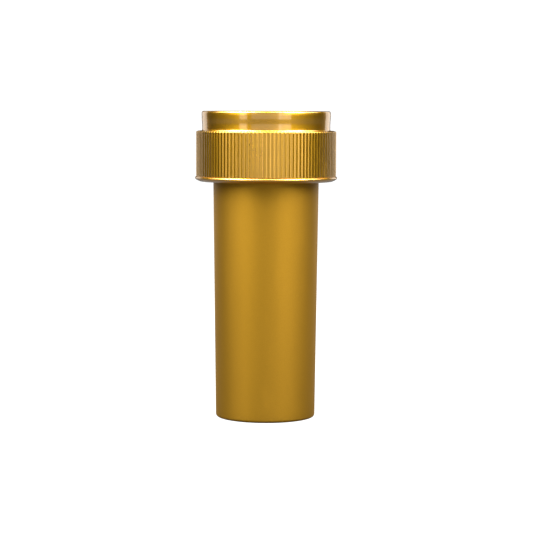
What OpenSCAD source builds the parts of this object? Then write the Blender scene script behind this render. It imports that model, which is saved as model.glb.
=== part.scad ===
// Dispensing vial with a reversible screw cap.
// Frame: origin at the centre of the base, +Z up, millimetres.
// The cap sits screwed down on the vial; its smaller ring is the open end used
// when the cap is turned over.

/* [Vial] */
// Outer radius of the body at the base
body_r_base = 12.42; // [11.6:0.01:12.6]
// Outer radius of the body just below the cap
body_r_top = 13.15; // [12.8:0.01:13.4]
// Height of the vial's rim
rim_z = 69.0; // [60:0.1:90]
// Wall thickness of the vial
wall = 1.1; // [0.8:0.05:1.2]
// Radius of the edge round the base
base_edge_r = 0.7; // [0.3:0.1:1.2]
// Depth of the recess under the base
base_recess = 0.5; // [0.2:0.1:0.8]
// Outer radius of the neck between its threads
neck_r = 13.95; // [13.7:0.05:14.1]
// Inner radius of the neck
mouth_r = 12.7; // [12.3:0.05:12.8]

/* [Cap] */
// Radius over the ribs of the skirt
rib_r = 17.5; // [17.4:0.05:18.5]
// Number of ribs round the skirt
rib_count = 116; // [60:1:140]
// Depth of the ribs
rib_depth = 0.24; // [0.2:0.02:0.4]
// Radius over the bead at the skirt's lower edge
bead_r = 17.75; // [17.6:0.05:18.0]
// Height of the skirt, from its lower edge to the ledge round the ring
skirt_h = 12.6; // [11.8:0.05:12.8]
// Outer radius of the upper ring's wall
ring_r = 15.95; // [15.9:0.01:16.0]
// Radius of the slightly fuller lip round the ring's mouth
lip_r = 16.1; // [16.05:0.01:16.2]
// Height of the upper ring above the ledge
ring_h = 4.88; // [4.8:0.01:7]
// Thickness of the web between the cap's two ends
web_t = 1.4; // [1:0.1:1.6]
// Inner radius of the skirt
skirt_bore_r = 16.05; // [16.0:0.01:16.2]
// Inner radius of the upper ring, where its thread stands
ring_bore_r = 14.8; // [14.78:0.01:14.82]
// Inner radius of the plain lead-in at the ring's mouth
ring_lead_r = 15.0; // [14.99:0.01:15.1]
// Length of the plain lead-in
ring_lead_h = 1.4; // [1.2:0.1:1.6]

/* [Seal disc] */
// Radius of the sealing disc
disc_r = 15.7; // [15.5:0.05:15.8]
// Thickness of the sealing disc
disc_t = 1.0; // [0.8:0.1:1.4]

/* [Thread] */
// Rise of the thread in one turn
lead = 8; // [6:1:8]
// Number of thread starts
starts = 4; // [2:1:4]

/* [Hidden] */
$fn = 120;

gold = [0.72, 0.53, 0.17];
gold_cap = [0.80, 0.60, 0.20];

web_z0 = rim_z + disc_t;         // underside of the web
web_z1 = web_z0 + web_t;         // top of the web, inside the ring
ledge_z = web_z1 + 0.32;         // ledge round the ring
skirt_z0 = ledge_z - skirt_h;    // lower edge of the skirt
top_z = ledge_z + ring_h;        // top of the ring
bead_rad = 0.36;                 // radius of the bead's upper edge
pitch = lead / starts;
neck_z0 = skirt_z0 + 1.35;       // where the neck's flare ends

// Points of an arc in the r-z plane, from angle a0 to a1
function arc(cr, cz, rad, a0, a1, n) =
    [for (i = [0:n]) let (a = a0 + (a1 - a0) * i / n) [cr + rad * cos(a), cz + rad * sin(a)]];

// Height of a thread at angle a, for a helix that starts at z0
function rise(z0, a) = z0 + lead * a / 360;

// How much of its full depth a thread has at angle a of a span: it runs out at both ends
function runout(a, span) = max(0.02, min(1, min(a, span - a) / 14));

// One start of a thread. r_root lies inside the wall it stands on, r_crest is its free edge.
module thread(r_root, r_wall, r_crest, w_root, w_crest, z0, a0, span) {
    n = ceil(span / 6);
    sgn = r_crest > r_root ? 1 : -1;
    rings = [for (i = [0:n])
        let (a = span * i / n, k = runout(a, span), z = rise(z0, a),
             rc = r_wall + (r_crest - r_wall) * k,
             wr = w_root / 2, wc = w_crest / 2)
        [[r_root, z - wr], [rc, z - wc], [rc, z + wc], [r_root, z + wr]]];
    pts = [for (i = [0:n]) let (a = a0 + span * i / n) for (p = rings[i]) [p[0] * cos(a), p[0] * sin(a), p[1]]];
    side = [for (i = [0:n - 1]) for (j = [0:3])
        let (p = i * 4 + j, q = i * 4 + (j + 1) % 4)
        for (t = [0, 1]) t == 0 ? [p, q, q + 4] : [p, q + 4, p + 4]];
    caps = [[0, 2, 1], [0, 3, 2], [n * 4, n * 4 + 1, n * 4 + 2], [n * 4, n * 4 + 2, n * 4 + 3]];
    faces = concat(side, caps);
    polyhedron(points = pts, faces = sgn < 0 ? [for (f = faces) [f[0], f[2], f[1]]] : faces);
}

// All the starts of one thread
module threads(r_root, r_wall, r_crest, w_root, w_crest, z0, span) {
    for (k = [0:starts - 1])
        thread(r_root, r_wall, r_crest, w_root, w_crest, z0, 360 * k / starts, span);
}

// Vial: base, tapered wall, flared neck with a lower thread for the skirt and an upper one for the ring
module vial() {
    inner_top = body_r_top - wall;
    inner_base = body_r_base - wall;
    color(gold) union() {
        rotate_extrude()
            polygon(concat(
                [[0, base_recess], [body_r_base - 1.9, base_recess], [body_r_base - 1.45, 0]],
                arc(body_r_base - base_edge_r, base_edge_r, base_edge_r, -90, 0, 6),
                [[body_r_top, skirt_z0 - 1.05], [body_r_top + 0.06, skirt_z0 + 0.1], [neck_r, neck_z0],
                 [neck_r, rim_z - 0.25], [neck_r - 0.25, rim_z], [mouth_r + 0.2, rim_z], [mouth_r, rim_z - 0.2],
                 [mouth_r, neck_z0 + 0.6], [inner_top, skirt_z0 - 0.4]],
                arc(inner_base - 1.3, base_recess + 1.1 + 1.3, 1.3, 0, -90, 6),
                [[0, base_recess + 1.1]]));
        threads(neck_r - 0.5, neck_r, 15.7, 1.5, 0.6, skirt_z0 + 1.75, 100);
        threads(neck_r - 0.5, neck_r, 14.68, 1.2, 0.6, rim_z - 3.0, 100);
    }
}

// Outline of the ribbed skirt: flat-topped ribs with sloping flanks
function rib_outline() = [for (i = [0:rib_count - 1]) for (q = [[-0.40, 0], [-0.17, 1], [0.17, 1], [0.40, 0]])
    let (a = 360 * (i + q[0]) / rib_count, r = rib_r - rib_depth * (1 - q[1])) [r * cos(a), r * sin(a)]];

// Cap: ribbed skirt with a bead, web, upper ring with a low plug seal, and both inner threads
module cap_shell() {
    valley = rib_r - rib_depth - 0.04;
    bead_z = skirt_z0 + 0.90;
    color(gold_cap) union() {
        rotate_extrude()
            polygon(concat(
                [[skirt_bore_r, skirt_z0 + 0.3], [skirt_bore_r + 0.3, skirt_z0]],
                [[skirt_bore_r + 0.5, skirt_z0], [bead_r - 0.85, skirt_z0 + 0.2], [bead_r - 0.35, skirt_z0 + 0.48],
                 [bead_r - 0.04, skirt_z0 + 0.80]],
                arc(bead_r - bead_rad, bead_z, bead_rad, 0, 110, 6),
                [[valley, bead_z + bead_rad + 0.02]],
                [[valley, ledge_z - 0.5], [valley - 0.12, ledge_z - 0.18], [valley - 0.42, ledge_z]],
                arc(ring_r + 0.3, ledge_z + 0.3, 0.3, 270, 180, 4),
                [[ring_r, top_z - 2.25], [ring_r + 0.03, top_z - 1.95], [lip_r - 0.03, top_z - 1.5],
                 [lip_r, top_z - 1.15], [lip_r - 0.01, top_z - 0.8]],
                arc(lip_r - 0.47, top_z - 0.45, 0.45, 0, 90, 5),
                arc(ring_lead_r + 0.35, top_z - 0.35, 0.35, 90, 180, 5),
                [[ring_lead_r, top_z - 0.35 - ring_lead_h], [ring_bore_r, top_z - 0.5 - ring_lead_h],
                 [ring_bore_r, web_z1 + 0.4], [ring_bore_r - 0.4, web_z1],
                 [mouth_r - 0.15, web_z1], [mouth_r - 0.15, web_z1 + 0.55], [mouth_r - 0.45, web_z1 + 0.9],
                 [mouth_r - 0.85, web_z1 + 0.9], [mouth_r - 1.0, web_z1 + 0.75], [mouth_r - 1.0, web_z1],
                 [0, web_z1], [0, web_z0], [skirt_bore_r, web_z0],
                 [skirt_bore_r, rim_z - 0.1], [disc_r - 0.25, rim_z - 0.3], [disc_r - 0.25, rim_z - 0.45],
                 [skirt_bore_r, rim_z - 0.8]]));
        difference() {
            translate([0, 0, skirt_z0 + 1.15]) linear_extrude(skirt_h - 1.65) polygon(rib_outline());
            translate([0, 0, skirt_z0]) cylinder(r = skirt_bore_r + 0.5, h = skirt_h);
        }
        threads(skirt_bore_r + 0.4, skirt_bore_r, 14.9, 1.2, 0.5, skirt_z0 + 1.75 - pitch / 2, 100);
        threads(ring_bore_r + 0.4, ring_bore_r, 14.15, 1.1, 0.5, web_z1 + 1.7, 44);
    }
}

// Sealing disc: pressed on the rim by the web, and kept in the cap by the low bead in the skirt
module seal_disc() {
    color([0.93, 0.92, 0.88])
        rotate_extrude()
            polygon([[0, rim_z], [disc_r - 0.12, rim_z], [disc_r, rim_z + 0.12], [disc_r, web_z0 - 0.12],
                     [disc_r - 0.12, web_z0], [0, web_z0]]);
}

vial();
cap_shell();
seal_disc();
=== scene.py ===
"""Looks for a screw-cap vial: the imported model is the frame, and every visible mesh is built here around it."""
import bpy
import math
import numpy as np
from mathutils import Euler, Matrix, Vector


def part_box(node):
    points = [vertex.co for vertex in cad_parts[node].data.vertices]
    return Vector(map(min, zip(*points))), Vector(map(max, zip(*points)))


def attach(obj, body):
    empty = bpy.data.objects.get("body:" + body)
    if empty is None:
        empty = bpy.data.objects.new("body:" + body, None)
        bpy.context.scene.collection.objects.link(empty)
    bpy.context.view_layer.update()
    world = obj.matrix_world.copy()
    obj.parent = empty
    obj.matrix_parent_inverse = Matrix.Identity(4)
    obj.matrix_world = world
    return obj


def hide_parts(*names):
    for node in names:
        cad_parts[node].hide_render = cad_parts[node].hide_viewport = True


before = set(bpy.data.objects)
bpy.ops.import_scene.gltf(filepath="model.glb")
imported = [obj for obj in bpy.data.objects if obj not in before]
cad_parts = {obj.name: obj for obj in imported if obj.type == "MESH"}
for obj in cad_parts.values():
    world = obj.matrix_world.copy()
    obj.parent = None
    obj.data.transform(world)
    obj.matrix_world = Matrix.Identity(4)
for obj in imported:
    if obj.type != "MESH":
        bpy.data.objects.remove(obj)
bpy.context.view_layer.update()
MM = 0.001

# ---------------------------------------------------------------- levels, in mm, from the frame
cap_lo, cap_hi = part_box("cap_shell")
vial_lo, vial_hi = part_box("vial")
disc_lo, disc_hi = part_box("seal_disc")
SKIRT_Z0 = cap_lo.z / MM
TOP_Z = cap_hi.z / MM
RIM_Z = vial_hi.z / MM
WEB_Z0 = disc_hi.z / MM
WEB_Z1 = WEB_Z0 + 1.4
LEDGE_Z = TOP_Z - 4.88
RIBS = 116
RIB_PHASE = -math.pi / 2 - 0.006      # a crest faces -Y
RIB_R, RIB_DEPTH = 17.49, 0.10
BEAD_R, BEAD_RAD = 17.74, 0.33
RING_R, LIP_R, RING_BORE, RING_LEAD = 15.94, 16.09, 14.8, 15.0
SKIRT_BORE = 16.05
NECK_R, MOUTH_R = 13.95, 12.7
BODY_R0, BODY_R1 = 12.42, 13.15
LEAD, STARTS = 8.0, 4


# ---------------------------------------------------------------- mesh helpers
def arc(cr, cz, rad, a0, a1, n, w=0.0):
    out = []
    for i in range(n + 1):
        a = math.radians(a0 + (a1 - a0) * i / n)
        out.append((cr + rad * math.cos(a), cz + rad * math.sin(a), w))
    return out


def line(p, q, n, w=0.0):
    """Points from p to q, without p, in n steps."""
    return [(p[0] + (q[0] - p[0]) * i / n, p[1] + (q[1] - p[1]) * i / n, w) for i in range(1, n + 1)]


def tidy(rows):
    out = [rows[0]]
    for r in rows[1:]:
        if math.hypot(r[0] - out[-1][0], r[1] - out[-1][1]) > 0.004:
            out.append(r)
    return out


def revolve(name, rows, cols, radial=None, closed=False, angles=None):
    """A surface of revolution from rows of (r, z, weight) in mm. radial(theta, rows) gives each row's offset in mm at each angle."""
    rows = tidy(rows)
    th = np.arange(cols) * 2 * math.pi / cols if angles is None else angles
    cols = len(th)
    verts, index = [], []
    offs = radial(th, rows) if radial else None
    n = 0
    for i, (r, z, w) in enumerate(rows):
        if r < 1e-6:
            verts.append(np.array([[0, 0, z]]))
            index.append((n, 1))
            n += 1
        else:
            rr = np.full(cols, r) + (offs[i] if offs is not None else 0)
            verts.append(np.stack([rr * np.cos(th), rr * np.sin(th), np.full(cols, z)], 1))
            index.append((n, cols))
            n += cols
    verts = np.concatenate(verts) * MM
    faces = []
    last = len(rows) if closed else len(rows) - 1
    k = np.arange(cols)
    k1 = (k + 1) % cols
    for i in range(last):
        (a, na), (b, nb) = index[i], index[(i + 1) % len(rows)]
        if na == 1 and nb == 1:
            continue
        if na == 1:
            faces += [(a, int(b + q), int(b + p)) for p, q in zip(k, k1)]
        elif nb == 1:
            faces += [(int(a + p), int(a + q), b) for p, q in zip(k, k1)]
        else:
            faces += [(int(a + p), int(a + q), int(b + q), int(b + p)) for p, q in zip(k, k1)]
    return mesh_object(name, verts, faces)


def signed_volume(verts, faces):
    v = 0.0
    for f in faces:
        a = verts[f[0]]
        for i in range(1, len(f) - 1):
            v += float(np.dot(a, np.cross(verts[f[i]], verts[f[i + 1]])))
    return v / 6


def mesh_object(name, verts, faces):
    step = faces if len(faces) < 4000 else None
    if step is None:
        tri = []
        for f in faces:
            tri.append((f[0], f[1], f[2]))
            if len(f) == 4:
                tri.append((f[0], f[2], f[3]))
        t = np.array(tri)
        v = float(np.einsum("ij,ij->i", verts[t[:, 0]], np.cross(verts[t[:, 1]], verts[t[:, 2]])).sum())
    else:
        v = signed_volume(verts, faces)
    if v < 0:
        faces = [tuple(reversed(f)) for f in faces]
    me = bpy.data.meshes.new(name)
    me.from_pydata([tuple(p) for p in verts], [], [tuple(int(i) for i in f) for f in faces])
    me.validate()
    me.update()
    ob = bpy.data.objects.new(name, me)
    bpy.context.scene.collection.objects.link(ob)
    return ob


def thread_sweeps(name, r_root, r_wall, r_crest, w_root, w_crest, z0, span, step=1.6, fade=16.0):
    """All starts of one thread: a rounded ridge that runs out at both ends. Its root lies inside the wall."""
    verts, faces = [], []
    base = 0
    n = int(math.ceil(span / step))
    for s in range(STARTS):
        first = base
        for i in range(n + 1):
            a = span * i / n
            k = max(0.015, min(1.0, min(a, span - a) / fade))
            k = math.sin(k * math.pi / 2) ** 0.8
            z = z0 + LEAD * a / 360
            t = math.radians(a + 360.0 * s / STARTS)
            rc = r_wall + (r_crest - r_wall) * k
            d = rc - r_wall
            sec = [(r_root, -w_root / 2), (r_wall, -w_root / 2 * 1.0),
                   (r_wall + d * 0.10, -w_root / 2 * 0.90),
                   (r_wall + d * 0.80, -(w_crest / 2 + 0.05)), (r_wall + d * 0.95, -w_crest / 2 * 0.86),
                   (rc, -w_crest / 2 * 0.45), (rc, w_crest / 2 * 0.45),
                   (r_wall + d * 0.95, w_crest / 2 * 0.86), (r_wall + d * 0.80, w_crest / 2 + 0.05),
                   (r_wall + d * 0.10, w_root / 2 * 0.90),
                   (r_wall, w_root / 2 * 1.0), (r_root, w_root / 2)]
            for r, dz in sec:
                verts.append((r * math.cos(t) * MM, r * math.sin(t) * MM, (z + dz) * MM))
        m = 12
        for i in range(n):
            for j in range(m):
                p, q = first + i * m + j, first + i * m + (j + 1) % m
                faces.append((p, q, q + m, p + m))
        faces.append(tuple(first + j for j in reversed(range(m))))
        faces.append(tuple(first + n * m + j for j in range(m)))
        base = first + (n + 1) * m
    return mesh_object(name, np.array(verts), faces)


def union(ob, others):
    for o in others:
        mod = ob.modifiers.new("union", "BOOLEAN")
        mod.operation = "UNION"
        mod.solver = "MANIFOLD"
        mod.object = o
    dg = bpy.context.evaluated_depsgraph_get()
    me = bpy.data.meshes.new_from_object(ob.evaluated_get(dg))
    ob.modifiers.clear()
    old = ob.data
    ob.data = me
    bpy.data.meshes.remove(old)
    for o in others:
        bpy.data.objects.remove(o)
    return ob


def smooth(ob, angle=38):
    me = ob.data
    me.shade_smooth()
    me.set_sharp_from_angle(angle=math.radians(angle))


# ---------------------------------------------------------------- cap
# where each rib is sampled across its pitch: the round top, the two flanks and the edges of the plain valley
RIB_STEPS = (-0.34, -0.20, -0.07, 0.07, 0.20, 0.34)


def rib_shape(u):
    """Height of a rib, 0 to 1, across one pitch: a low roof-shaped ridge with a round top, then a plain valley."""
    t = np.abs(u - np.round(u))
    return np.interp(t, (0.0, 0.07, 0.20, 0.34, 0.5), (1.0, 0.91, 0.46, 0.0, 0.0))


def cap_mesh():
    valley = RIB_R - RIB_DEPTH
    zb = SKIRT_Z0 + 0.88
    rows = []
    # inner lower edge of the skirt, round
    rows += arc(SKIRT_BORE + 0.3, SKIRT_Z0 + 0.3, 0.3, 180, 270, 4)
    # the bead is a thin flange: its underside slopes in, and its upper edge is rounded
    for r, d in ((16.42, 0.012), (16.56, 0.05), (16.8, 0.14), (17.0, 0.225), (17.2, 0.32), (17.38, 0.42),
                 (17.53, 0.53), (17.64, 0.64), (17.715, 0.77)):
        rows.append((r, SKIRT_Z0 + d, 0))
    rows += arc(BEAD_R - BEAD_RAD, zb, BEAD_RAD, 0, 115, 8)
    # a narrow groove, then the ribs
    rows.append((valley + 0.03, zb + BEAD_RAD + 0.015, 0))
    rows.append((valley - 0.02, zb + BEAD_RAD + 0.045, 0))
    rib_lo, rib_hi = zb + BEAD_RAD + 0.07, LEDGE_Z - 0.10
    for d, w in ((0.0, 0.0), (0.025, 0.45), (0.06, 0.72), (0.11, 0.89), (0.17, 0.97), (0.24, 1.0)):
        rows.append((valley, rib_lo + d, w))
    for i in range(1, 3):
        rows.append((valley, rib_lo + 0.24 + (rib_hi - 0.36 - rib_lo - 0.24) * i / 3, 1.0))
    for d, w in ((0.36, 1.0), (0.28, 0.985), (0.21, 0.94), (0.15, 0.86), (0.105, 0.75), (0.07, 0.60), (0.04, 0.44), (0.018, 0.26)):
        rows.append((valley - 0.16 * (1 - w) ** 1.5, rib_hi - d, w))
    rows.append((valley - 0.22, rib_hi, 0.10))
    rows += arc(valley - 0.52, LEDGE_Z - 0.30, 0.30, 50, 90, 4)
    # flat ledge, and the fillet at the ring's foot
    rows += line((valley - 0.52, LEDGE_Z), (RING_R + 0.36, LEDGE_Z), 2)
    rows += arc(RING_R + 0.34, LEDGE_Z + 0.34, 0.34, 270, 180, 8)
    # ring wall, which swells smoothly into a slightly fuller lip
    rows += line((RING_R, LEDGE_Z + 0.34), (RING_R, TOP_Z - 3.6), 2)
    for i in range(1, 9):
        t = i / 8
        rows.append((RING_R + (LIP_R - 0.02 - RING_R) * t * t * (3 - 2 * t), TOP_Z - 3.6 + 2.25 * t, 0))
    for i in range(1, 5):
        d = -0.4 + 0.8 * i / 4
        rows.append((LIP_R - 0.02 * (d / 0.4) ** 2, TOP_Z - 0.95 + d, 0))
    rows += arc(LIP_R - 0.47, TOP_Z - 0.45, 0.45, 0, 90, 8)
    rows += arc(RING_LEAD + 0.30, TOP_Z - 0.30, 0.30, 90, 180, 5)
    rows += line((RING_LEAD, TOP_Z - 0.30), (RING_LEAD, TOP_Z - 1.75), 3)
    rows += line((RING_LEAD, TOP_Z - 1.75), (RING_BORE, TOP_Z - 1.9), 1)
    rows += line((RING_BORE, TOP_Z - 1.9), (RING_BORE, WEB_Z1 + 0.5), 2)
    rows += arc(RING_BORE - 0.5, WEB_Z1 + 0.5, 0.5, 0, -90, 5)
    # plug seal, a low ring on the web
    rows += line((RING_BORE - 0.5, WEB_Z1), (MOUTH_R + 0.05, WEB_Z1), 3)
    rows += arc(MOUTH_R + 0.05, WEB_Z1 + 0.2, 0.2, 270, 180, 3)
    rows += line((MOUTH_R - 0.15, WEB_Z1 + 0.2), (MOUTH_R - 0.15, WEB_Z1 + 0.55), 1)
    rows += arc(MOUTH_R - 0.45, WEB_Z1 + 0.60, 0.30, 0, 90, 5)
    rows += arc(MOUTH_R - 0.80, WEB_Z1 + 0.70, 0.20, 90, 180, 4)
    rows += line((MOUTH_R - 1.0, WEB_Z1 + 0.7), (MOUTH_R - 1.0, WEB_Z1 + 0.2), 1)
    rows += arc(MOUTH_R - 1.2, WEB_Z1 + 0.2, 0.2, 0, -90, 3)
    # web, with a shallow dimple where the mould fed it
    rows += line((MOUTH_R - 1.2, WEB_Z1), (2.6, WEB_Z1), 2)
    rows += arc(2.2, WEB_Z1 - 0.25, 0.25, 90, 180, 4)
    rows += line((1.95, WEB_Z1 - 0.30), (0.9, WEB_Z1 - 0.34), 2)
    rows += line((0.9, WEB_Z1 - 0.34), (0.62, WEB_Z1 - 0.18), 2)
    rows += line((0.62, WEB_Z1 - 0.18), (0.0, WEB_Z1 - 0.14), 2)
    # underside of the web, skirt wall, the bead that keeps the disc
    rows += line((0.0, WEB_Z0), (0.0, WEB_Z0), 1)
    rows += line((0.0, WEB_Z0), (SKIRT_BORE - 0.2, WEB_Z0), 2)
    rows += arc(SKIRT_BORE - 0.2, WEB_Z0 - 0.2, 0.2, 90, 0, 4)
    zr = RIM_Z - 0.1
    rows += line((SKIRT_BORE, WEB_Z0 - 0.2), (SKIRT_BORE, zr), 2)
    rows += line((SKIRT_BORE, zr), (15.56, zr - 0.17), 3)
    rows += arc(15.57, zr - 0.28, 0.12, 90, 270, 4)
    rows += line((15.60, zr - 0.42), (SKIRT_BORE, zr - 0.7), 3)
    rows += line((SKIRT_BORE, zr - 0.7), (SKIRT_BORE, SKIRT_Z0 + 0.3), 2)
    rows = tidy(rows)
    rows[-1:] = [] if math.hypot(rows[-1][0] - rows[0][0], rows[-1][1] - rows[0][1]) < 0.004 else rows[-1:]

    def radial(th, rws):
        u = (th - RIB_PHASE) * RIBS / (2 * math.pi)
        s = rib_shape(u - np.floor(u))
        # mould wear: no two ribs are cut to quite the same height
        k = np.floor(u + 0.5)
        wob = 1 - 0.05 * (0.5 + 0.5 * np.sin(k * 12.9898 + 1.3)) - 0.03 * (0.5 + 0.5 * np.sin(k * 4.137))
        return [RIB_DEPTH * w * s * wob if w > 0 else np.zeros(len(th)) for (_, _, w) in rws]

    angles = np.array([RIB_PHASE + 2 * math.pi * (k + q) / RIBS for k in range(RIBS) for q in RIB_STEPS])
    ob = revolve("cap_moulding", rows, 0, radial, closed=True, angles=angles)
    skirt = thread_sweeps("t1", SKIRT_BORE + 0.4, SKIRT_BORE, 14.92, 1.18, 0.5, SKIRT_Z0 + 1.75 - LEAD / STARTS / 2, 100)
    ring = thread_sweeps("t2", RING_BORE + 0.4, RING_BORE, 14.17, 1.08, 0.5, WEB_Z1 + 1.7, 44, step=1.2, fade=10)
    union(ob, [skirt, ring])
    smooth(ob, 40)
    return ob


# ---------------------------------------------------------------- vial
def body_r(z):
    """Outer radius of the body: a straight draft of about 0.7 degrees, wider towards the top."""
    t = z / (SKIRT_Z0 - 1.05)
    return BODY_R0 + (BODY_R1 - BODY_R0) * t


def vial_mesh():
    rows = []
    # recess under the base, with the gate mark in the middle
    rows += [(0.0, 0.34, 0), (0.55, 0.33, 0), (0.8, 0.36, 0), (0.95, 0.44, 0), (1.1, 0.5, 0)]
    rows += line((1.1, 0.5), (3.2, 0.5), 2) + [(3.3, 0.44, 0), (3.45, 0.44, 0), (3.55, 0.5, 0)]
    rows += line((3.55, 0.5), (10.35, 0.5), 8)
    rows += arc(10.35, 0.3, 0.2, 90, 30, 3)
    rows += arc(11.12, 0.22, 0.22, 215, 270, 4)
    # foot ring and the edge of the base
    rows += line((11.12, 0.0), (BODY_R0 - 0.7, 0.0), 2)
    rows += arc(BODY_R0 - 0.7, 0.7, 0.7, -90, 0, 12)
    for i in range(1, 41):
        z = 0.7 + (SKIRT_Z0 - 1.05 - 0.7) * i / 40
        rows.append((body_r(z), z, 0))
    z1 = SKIRT_Z0 - 1.05
    # flare under the skirt
    for i in range(1, 13):
        t = i / 12
        s = t * t * (3 - 2 * t)
        rows.append((BODY_R1 + (NECK_R - BODY_R1) * s, z1 + 1.0 + 1.4 * t if i > 1 else z1 + 1.05, 0))
    rows += line((NECK_R, SKIRT_Z0 + 1.35), (NECK_R, RIM_Z - 0.28), 14)
    rows += arc(NECK_R - 0.28, RIM_Z - 0.28, 0.28, 0, 90, 6)
    rows += arc(MOUTH_R + 0.22, RIM_Z - 0.22, 0.22, 90, 180, 5)
    zn = SKIRT_Z0 + 1.95
    rows += line((MOUTH_R, RIM_Z - 0.22), (MOUTH_R, zn), 6)
    for i in range(1, 11):
        t = i / 10
        s = t * t * (3 - 2 * t)
        rows.append((MOUTH_R + (BODY_R1 - 1.1 - MOUTH_R) * s, zn - 2.35 * t, 0))
    zi = zn - 2.35
    for i in range(1, 33):
        z = zi + (2.9 - zi) * i / 32
        rows.append((body_r(z) - 1.1 - 0.0, z, 0))
    rows += arc(rows[-1][0] - 1.3, 2.9, 1.3, 0, -90, 8)
    rows += line((rows[-1][0], 1.6), (0.0, 1.6), 6)
    ob = revolve("vial_moulding", rows, 288)
    low = thread_sweeps("t3", NECK_R - 0.5, NECK_R, 15.68, 1.48, 0.6, SKIRT_Z0 + 1.75, 100)
    top = thread_sweeps("t4", NECK_R - 0.5, NECK_R, 14.66, 1.18, 0.6, RIM_Z - 3.0, 100)
    union(ob, [low, top])
    smooth(ob, 40)
    return ob


# ---------------------------------------------------------------- disc
def disc_mesh():
    r = disc_hi.x / MM - 0.01
    z0, z1 = RIM_Z, WEB_Z0
    rows = [(0.0, z0, 0)] + line((0, z0), (12.45, z0), 8)
    # the rim's mark, pressed in as a groove beside the flat that it seals on
    rows += [(12.52, z0 + 0.03, 0), (12.60, z0 + 0.035, 0), (12.68, z0 + 0.02, 0), (12.75, z0, 0)]
    rows += line((12.75, z0), (13.95, z0), 3)
    rows += [(14.02, z0 + 0.02, 0), (14.10, z0 + 0.035, 0), (14.2, z0 + 0.03, 0), (14.3, z0, 0)]
    rows += line((14.3, z0), (r - 0.14, z0), 2)
    rows += arc(r - 0.14, z0 + 0.14, 0.14, -90, 0, 4)
    rows += arc(r - 0.14, z1 - 0.14, 0.14, 0, 90, 4)
    rows += line((r - 0.14, z1), (0.0, z1), 8)
    ob = revolve("disc_foam_piece", rows, 240)
    smooth(ob, 45)
    return ob


cap = cap_mesh()
vial = vial_mesh()
disc = disc_mesh()


# ---------------------------------------------------------------- materials
def new_mat(name):
    m = bpy.data.materials.new(name)
    m.use_nodes = True
    nt = m.node_tree
    for n in list(nt.nodes):
        nt.nodes.remove(n)
    out = nt.nodes.new("ShaderNodeOutputMaterial")
    bsdf = nt.nodes.new("ShaderNodeBsdfPrincipled")
    nt.links.new(bsdf.outputs[0], out.inputs[0])
    return m, nt, bsdf


def node(nt, kind, **kw):
    n = nt.nodes.new(kind)
    for k, v in kw.items():
        if k in n.inputs:
            n.inputs[k].default_value = v
        else:
            setattr(n, k, v)
    return n


def noise(nt, coord, scale, detail=2.0, rough=0.5, stretch=(1, 1, 1)):
    mp = node(nt, "ShaderNodeMapping")
    mp.inputs["Scale"].default_value = stretch
    nt.links.new(coord, mp.inputs["Vector"])
    n = node(nt, "ShaderNodeTexNoise")
    n.inputs["Scale"].default_value = scale
    n.inputs["Detail"].default_value = detail
    n.inputs["Roughness"].default_value = rough
    nt.links.new(mp.outputs[0], n.inputs["Vector"])
    return n.outputs[0]


def ramp(nt, fac, lo, hi, a, b):
    r = node(nt, "ShaderNodeMapRange", clamp=True)
    r.inputs["From Min"].default_value = lo
    r.inputs["From Max"].default_value = hi
    r.inputs["To Min"].default_value = a
    r.inputs["To Max"].default_value = b
    nt.links.new(fac, r.inputs["Value"])
    return r.outputs[0]


def mix_rgb(nt, fac, a, b, blend="MIX"):
    m = node(nt, "ShaderNodeMix", data_type="RGBA", blend_type=blend)
    for i, v in ((0, fac), (6, a), (7, b)):
        if isinstance(v, (int, float)):
            m.inputs[i].default_value = v
        elif isinstance(v, tuple):
            m.inputs[i].default_value = v if len(v) == 4 else (*v, 1)
        else:
            nt.links.new(v, m.inputs[i])
    return m.outputs[2]


def math_node(nt, op, a, b=None):
    m = node(nt, "ShaderNodeMath", operation=op)
    for i, v in ((0, a), (1, b)):
        if v is None:
            continue
        if isinstance(v, (int, float)):
            m.inputs[i].default_value = v
        else:
            nt.links.new(v, m.inputs[i])
    return m.outputs[0]


def bump(nt, height, strength, distance, prev=None):
    b = node(nt, "ShaderNodeBump")
    b.inputs["Strength"].default_value = strength
    b.inputs["Distance"].default_value = distance
    nt.links.new(height, b.inputs["Height"])
    if prev is not None:
        nt.links.new(prev, b.inputs["Normal"])
    return b.outputs[0]


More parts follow.
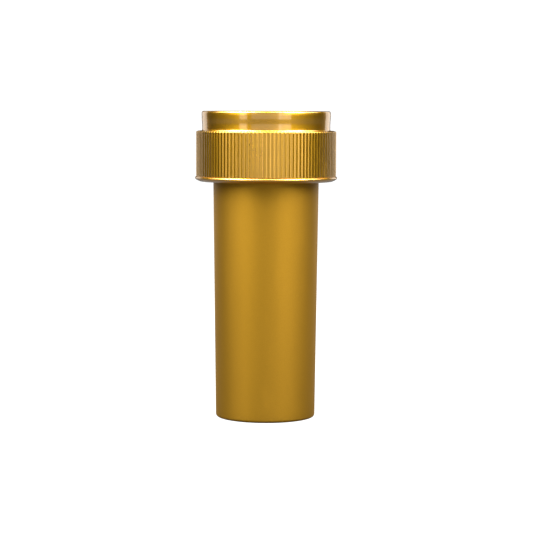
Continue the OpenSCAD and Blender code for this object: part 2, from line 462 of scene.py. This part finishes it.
def gold_plastic(name, deep, light, rough, metallic, coat, coat_rough, spec, flake, peel):
    """Gold-pigmented moulded plastic: pearl flake, slow flow marks from the moulding, fine surface texture and light scuffs."""
    m, nt, p = new_mat(name)
    tc = node(nt, "ShaderNodeTexCoord")
    co = tc.outputs["Object"]
    flow = noise(nt, co, 90, 3, 0.55, (1, 1, 0.12))
    cloud = noise(nt, co, 38, 2, 0.5, (1, 1, 0.5))
    fine = noise(nt, co, 5200, 1, 0.5)
    scuff = noise(nt, co, 260, 4, 0.62, (1, 1, 0.35))
    f1 = ramp(nt, flow, 0.34, 0.66, 0.0, 1.0)
    f2 = ramp(nt, cloud, 0.35, 0.65, 0.0, 1.0)
    blend = math_node(nt, "ADD", math_node(nt, "MULTIPLY", f1, 0.5), math_node(nt, "MULTIPLY", f2, 0.5))
    col = mix_rgb(nt, blend, deep, light)
    spark = ramp(nt, fine, 0.30, 0.70, 1.0 - flake, 1.0 + flake)
    sp = node(nt, "ShaderNodeCombineColor")
    for i in range(3):
        nt.links.new(spark, sp.inputs[i])
    col = mix_rgb(nt, 1.0, col, sp.outputs[0], "MULTIPLY")
    nt.links.new(col, p.inputs["Base Color"])
    sc = ramp(nt, scuff, 0.60, 0.74, 0.0, 1.0)
    r = math_node(nt, "ADD", ramp(nt, flow, 0.3, 0.7, rough - 0.02, rough + 0.02), math_node(nt, "MULTIPLY", sc, 0.05))
    nt.links.new(r, p.inputs["Roughness"])
    p.inputs["Metallic"].default_value = metallic
    p.inputs["Specular IOR Level"].default_value = spec
    p.inputs["Coat Weight"].default_value = coat
    p.inputs["Coat Roughness"].default_value = coat_rough
    p.inputs["Coat IOR"].default_value = 1.8
    b1 = bump(nt, noise(nt, co, 2600, 2, 0.5), peel, 0.00002)
    b2 = bump(nt, noise(nt, co, 420, 2, 0.5), peel * 0.6, 0.00006, b1)
    nt.links.new(b2, p.inputs["Normal"])
    return m


def foam(name):
    """Natural foamed polyethylene: fine closed cells and a faint mottle."""
    m, nt, p = new_mat(name)
    tc = node(nt, "ShaderNodeTexCoord")
    co = tc.outputs["Object"]
    vor = node(nt, "ShaderNodeTexVoronoi")
    vor.inputs["Scale"].default_value = 3800
    nt.links.new(co, vor.inputs["Vector"])
    mott = noise(nt, co, 160, 3, 0.5)
    col = mix_rgb(nt, ramp(nt, mott, 0.35, 0.65, 0, 1), (0.74, 0.725, 0.68), (0.84, 0.83, 0.79))
    cells = ramp(nt, vor.outputs["Distance"], 0.0, 0.6, 0.94, 1.03)
    cc = node(nt, "ShaderNodeCombineColor")
    for i in range(3):
        nt.links.new(cells, cc.inputs[i])
    nt.links.new(mix_rgb(nt, 1.0, col, cc.outputs[0], "MULTIPLY"), p.inputs["Base Color"])
    p.inputs["Roughness"].default_value = 0.72
    p.inputs["Specular IOR Level"].default_value = 0.3
    nt.links.new(bump(nt, vor.outputs["Distance"], 0.25, 0.00005), p.inputs["Normal"])
    return m


mat_vial = gold_plastic("gold_satin", (0.352, 0.187, 0.0150), (0.374, 0.199, 0.0180), 0.52, 1.0, 0.0, 0.3, 0.30, 0.05, 0.25)
# the cap's gold is lighter than the vial's same gold: painted light, standing in for light that passes through the
# ring's thin wall and falls on it from above
mat_cap = gold_plastic("gold_gloss", (0.60, 0.305, 0.010), (0.64, 0.328, 0.013), 0.32, 1.0, 1.0, 0.10, 0.40, 0.04, 0.12)
# the ribs' gold is a little lighter and yellower than the ring's: a painted highlight for the bright rib crests
mat_grip = gold_plastic("gold_grip", (0.62, 0.320, 0.012), (0.66, 0.342, 0.015), 0.28, 1.0, 0.60, 0.15, 0.40, 0.04, 0.12)
mat_disc = foam("disc_foam")
for ob, mat, body, cad, slot in ((vial, mat_vial, "vial", "vial", "vial_plastic"),
                                 (cap, mat_cap, "cap", "cap_shell", "cap_plastic"),
                                 (disc, mat_disc, "seal_disc", "seal_disc", "disc_foam")):
    ob.data.materials.clear()
    ob.data.materials.append(mat)
    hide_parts(cad)
    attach(ob, body)

# the ribs are a little duller than the ring and the bead; their gold is also a little lighter and yellower, a painted
# highlight standing in for the bright highlights along the rib crests
cap.data.materials.append(mat_grip)
co = np.empty(len(cap.data.polygons) * 3)
cap.data.polygons.foreach_get("center", co)
co = co.reshape(-1, 3) / MM
on_ribs = (np.hypot(co[:, 0], co[:, 1]) > RIB_R - RIB_DEPTH - 0.05) & (co[:, 2] > SKIRT_Z0 + 1.27) & (co[:, 2] < LEDGE_Z - 0.11)
cap.data.polygons.foreach_set("material_index", on_ribs.astype(np.int32))


# ---------------------------------------------------------------- floor, world, lights
def stage_floor():
    me = bpy.data.meshes.new("floor")
    s = 3.0
    me.from_pydata([(-s, -s, 0), (s, -s, 0), (s, s, 0), (-s, s, 0)], [], [(0, 1, 2, 3)])
    ob = bpy.data.objects.new("floor", me)
    bpy.context.scene.collection.objects.link(ob)
    m = bpy.data.materials.new("floor_white")
    m.use_nodes = True
    nt = m.node_tree
    for n in list(nt.nodes):
        nt.nodes.remove(n)
    out = nt.nodes.new("ShaderNodeOutputMaterial")
    dif = nt.nodes.new("ShaderNodeBsdfDiffuse")
    dif.inputs["Color"].default_value = (0.06, 0.06, 0.06, 1)
    em = nt.nodes.new("ShaderNodeEmission")
    em.inputs["Color"].default_value = (1, 1, 1, 1)
    lp = nt.nodes.new("ShaderNodeLightPath")
    mul = nt.nodes.new("ShaderNodeMath")
    mul.operation = "MULTIPLY"
    mul.inputs[1].default_value = 1.05
    nt.links.new(lp.outputs["Is Camera Ray"], mul.inputs[0])
    nt.links.new(mul.outputs[0], em.inputs["Strength"])
    add = nt.nodes.new("ShaderNodeAddShader")
    nt.links.new(dif.outputs[0], add.inputs[0])
    nt.links.new(em.outputs[0], add.inputs[1])
    nt.links.new(add.outputs[0], out.inputs[0])
    ob.data.materials.append(m)


stage_floor()

w = bpy.data.worlds.new("studio")
bpy.context.scene.world = w
w.use_nodes = True
wt = w.node_tree
for n in list(wt.nodes):
    wt.nodes.remove(n)
wo = wt.nodes.new("ShaderNodeOutputWorld")
bg_cam = wt.nodes.new("ShaderNodeBackground")
bg_cam.inputs["Color"].default_value = (1, 1, 1, 1)
bg_cam.inputs["Strength"].default_value = 1.05
bg_fill = wt.nodes.new("ShaderNodeBackground")
bg_fill.inputs["Color"].default_value = (1, 1, 1, 1)
bg_fill.inputs["Strength"].default_value = 0.0
bg_fill.name = "fill"
lp = wt.nodes.new("ShaderNodeLightPath")
mx = wt.nodes.new("ShaderNodeMixShader")
wt.links.new(lp.outputs["Is Camera Ray"], mx.inputs[0])
wt.links.new(bg_fill.outputs[0], mx.inputs[1])
wt.links.new(bg_cam.outputs[0], mx.inputs[2])
wt.links.new(mx.outputs[0], wo.inputs[0])

# name, azimuth (0 is the camera's side, positive to the right), elevation, width, height of the panel, watts
LIGHTS = [
    ("low_front", 0, 0, 0.60, 0.27, 0.44),
    ("low_left", -41, 0, 0.14, 0.27, 0.22),
    ("low_right", 33, 0, 0.24, 0.27, 0.36),
    ("backdrop_left", -146, 5, 0.31, 0.40, 0.40),
    ("backdrop_right", 146, 5, 0.31, 0.40, 0.48),
    ("side_left", -88, 30, 0.40, 0.24, 0.80),
    ("side_right", 90, 30, 0.40, 0.24, 0.90),
    ("key_left", -52, 30, 0.34, 0.34, 3.50),
    ("key_right", 55, 30, 0.34, 0.34, 3.90),
    ("high_left", -90, 55, 0.40, 0.40, 3.00),
    ("high_left_front", -54, 55, 0.55, 0.46, 10.0),
    ("high_right_front", 54, 55, 0.55, 0.46, 7.40),
    ("high_right", 90, 55, 0.40, 0.40, 2.60),
    ("top", 0, 86, 0.40, 0.40, 1.00),
]
PANEL_DIST, PANEL_AIM = 0.6, 0.045


def area_light(name, az, el, wid, hei, watts):
    d = bpy.data.lights.new(name, "AREA")
    d.shape = "RECTANGLE"
    d.size, d.size_y = wid, hei
    d.energy = watts
    ob = bpy.data.objects.new(name, d)
    a, e = math.radians(az), math.radians(el)
    ob.location = (PANEL_DIST * math.cos(e) * math.sin(a), -PANEL_DIST * math.cos(e) * math.cos(a),
                   PANEL_AIM + PANEL_DIST * math.sin(e))
    ob.rotation_euler = (Vector((0, 0, PANEL_AIM)) - ob.location).to_track_quat("-Z", "Y").to_euler()
    ob.visible_camera = False
    bpy.context.scene.collection.objects.link(ob)
    return ob


for spec in LIGHTS:
    area_light(*spec)

# ---------------------------------------------------------------- camera
CAM_D, CAM_H, CAM_PITCH, CAM_ROLL, CAM_X = 0.490, 0.07763, 4.652, 0.22, 0.00020
cam_data = bpy.data.cameras.new("camera")
cam_data.lens = 132.4
cam_data.sensor_width = 36.0
cam_data.clip_start = 0.01
cam_data.clip_end = 50
cam = bpy.data.objects.new("camera", cam_data)
cam.location = (CAM_X, -CAM_D, CAM_H)
cam.rotation_euler = (Euler((math.radians(90 - CAM_PITCH), 0, 0)).to_matrix() @ Matrix.Rotation(math.radians(CAM_ROLL), 3, "Z")).to_euler()
bpy.context.scene.collection.objects.link(cam)
bpy.context.scene.camera = cam
bpy.context.scene.view_settings.view_transform = "Standard"
bpy.context.scene.view_settings.look = "None"
